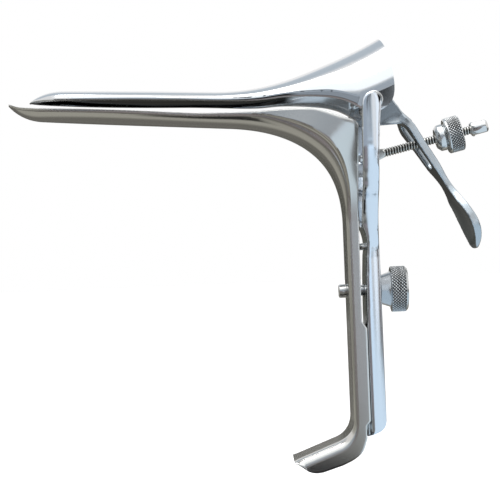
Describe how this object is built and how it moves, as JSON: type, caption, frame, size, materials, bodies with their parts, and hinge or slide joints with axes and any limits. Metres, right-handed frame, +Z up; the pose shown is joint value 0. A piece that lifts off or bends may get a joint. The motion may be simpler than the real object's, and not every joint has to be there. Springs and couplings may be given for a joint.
{
  "type": "bivalve speculum",
  "caption": "Metal speculum with a hinged upper blade and bell, a sliding lower blade and handle, a yoke frame, a thumb lever with screw rod and nut, and a clamp knob.",
  "frame": {"origin": "in the grip, on the clamp bolt's axis at the front face of the frame bar, half way across", "axes": "+X to the user, blades reach towards -X; +Y across, to the lever's side; +Z up along the handle"},
  "size_m": [0.178, 0.0629, 0.1548],
  "materials": {
    "blade_steel": "polished sheet with a faint satin grain",
    "frame_steel": "polished forging, slightly uneven",
    "fastener_steel": "turned, bright",
    "knurled_steel": "turned and knurled, bright"
  },
  "bodies": {
    "frame_body": {"frame": "frame_steel", "guide_stud": "fastener_steel", "hinge_rivet_near": "fastener_steel", "hinge_rivet_far": "fastener_steel", "hinge_spacer": "fastener_steel", "rod_pivot_pin": "fastener_steel", "clamp_bolt": "fastener_steel"},
    "upper_body": {"upper_blade": "blade_steel", "thumb_lever": "frame_steel", "lever_rivets": "fastener_steel"},
    "lower_body": {"lower_blade": "blade_steel"},
    "rod_body": {"threaded_rod": "fastener_steel", "rod_end_cap": "fastener_steel"},
    "nut_body": {"thumb_nut": "knurled_steel"},
    "knob_body": {"clamp_knob": "knurled_steel"}
  },
  "joints": [
    {"name": "blade_tilt", "type": "hinge", "parent": "frame_body", "child": "upper_body", "pos_m": [0.0044, 0, 0.0668], "axis": [0, 1, 0], "range_deg": [0, 30]},
    {"name": "handle_slide", "type": "slide", "parent": "frame_body", "child": "lower_body", "axis": [0, 0, -1], "range_m": [0, 0.022]},
    {"name": "rod_swing", "type": "hinge", "parent": "frame_body", "child": "rod_body", "pos_m": [0.0025, 0.0285, 0.0491], "axis": [0, 1, 0], "range_deg": [0, 18]},
    {"name": "nut_travel", "type": "slide", "parent": "rod_body", "child": "nut_body", "axis": [0.9755, 0, 0.2198], "range_m": [-0.0129, 0]},
    {"name": "knob_turn", "type": "hinge", "parent": "frame_body", "child": "knob_body", "pos_m": [0.0059, 0, 0], "axis": [1, 0, 0], "range_deg": [0, 720]}
  ],
  "couplings": [
    {"joint": "rod_swing", "follows": "blade_tilt", "ratio": 0.6},
    {"joint": "nut_travel", "follows": "blade_tilt", "m_per_rad": -0.0246}
  ]
}
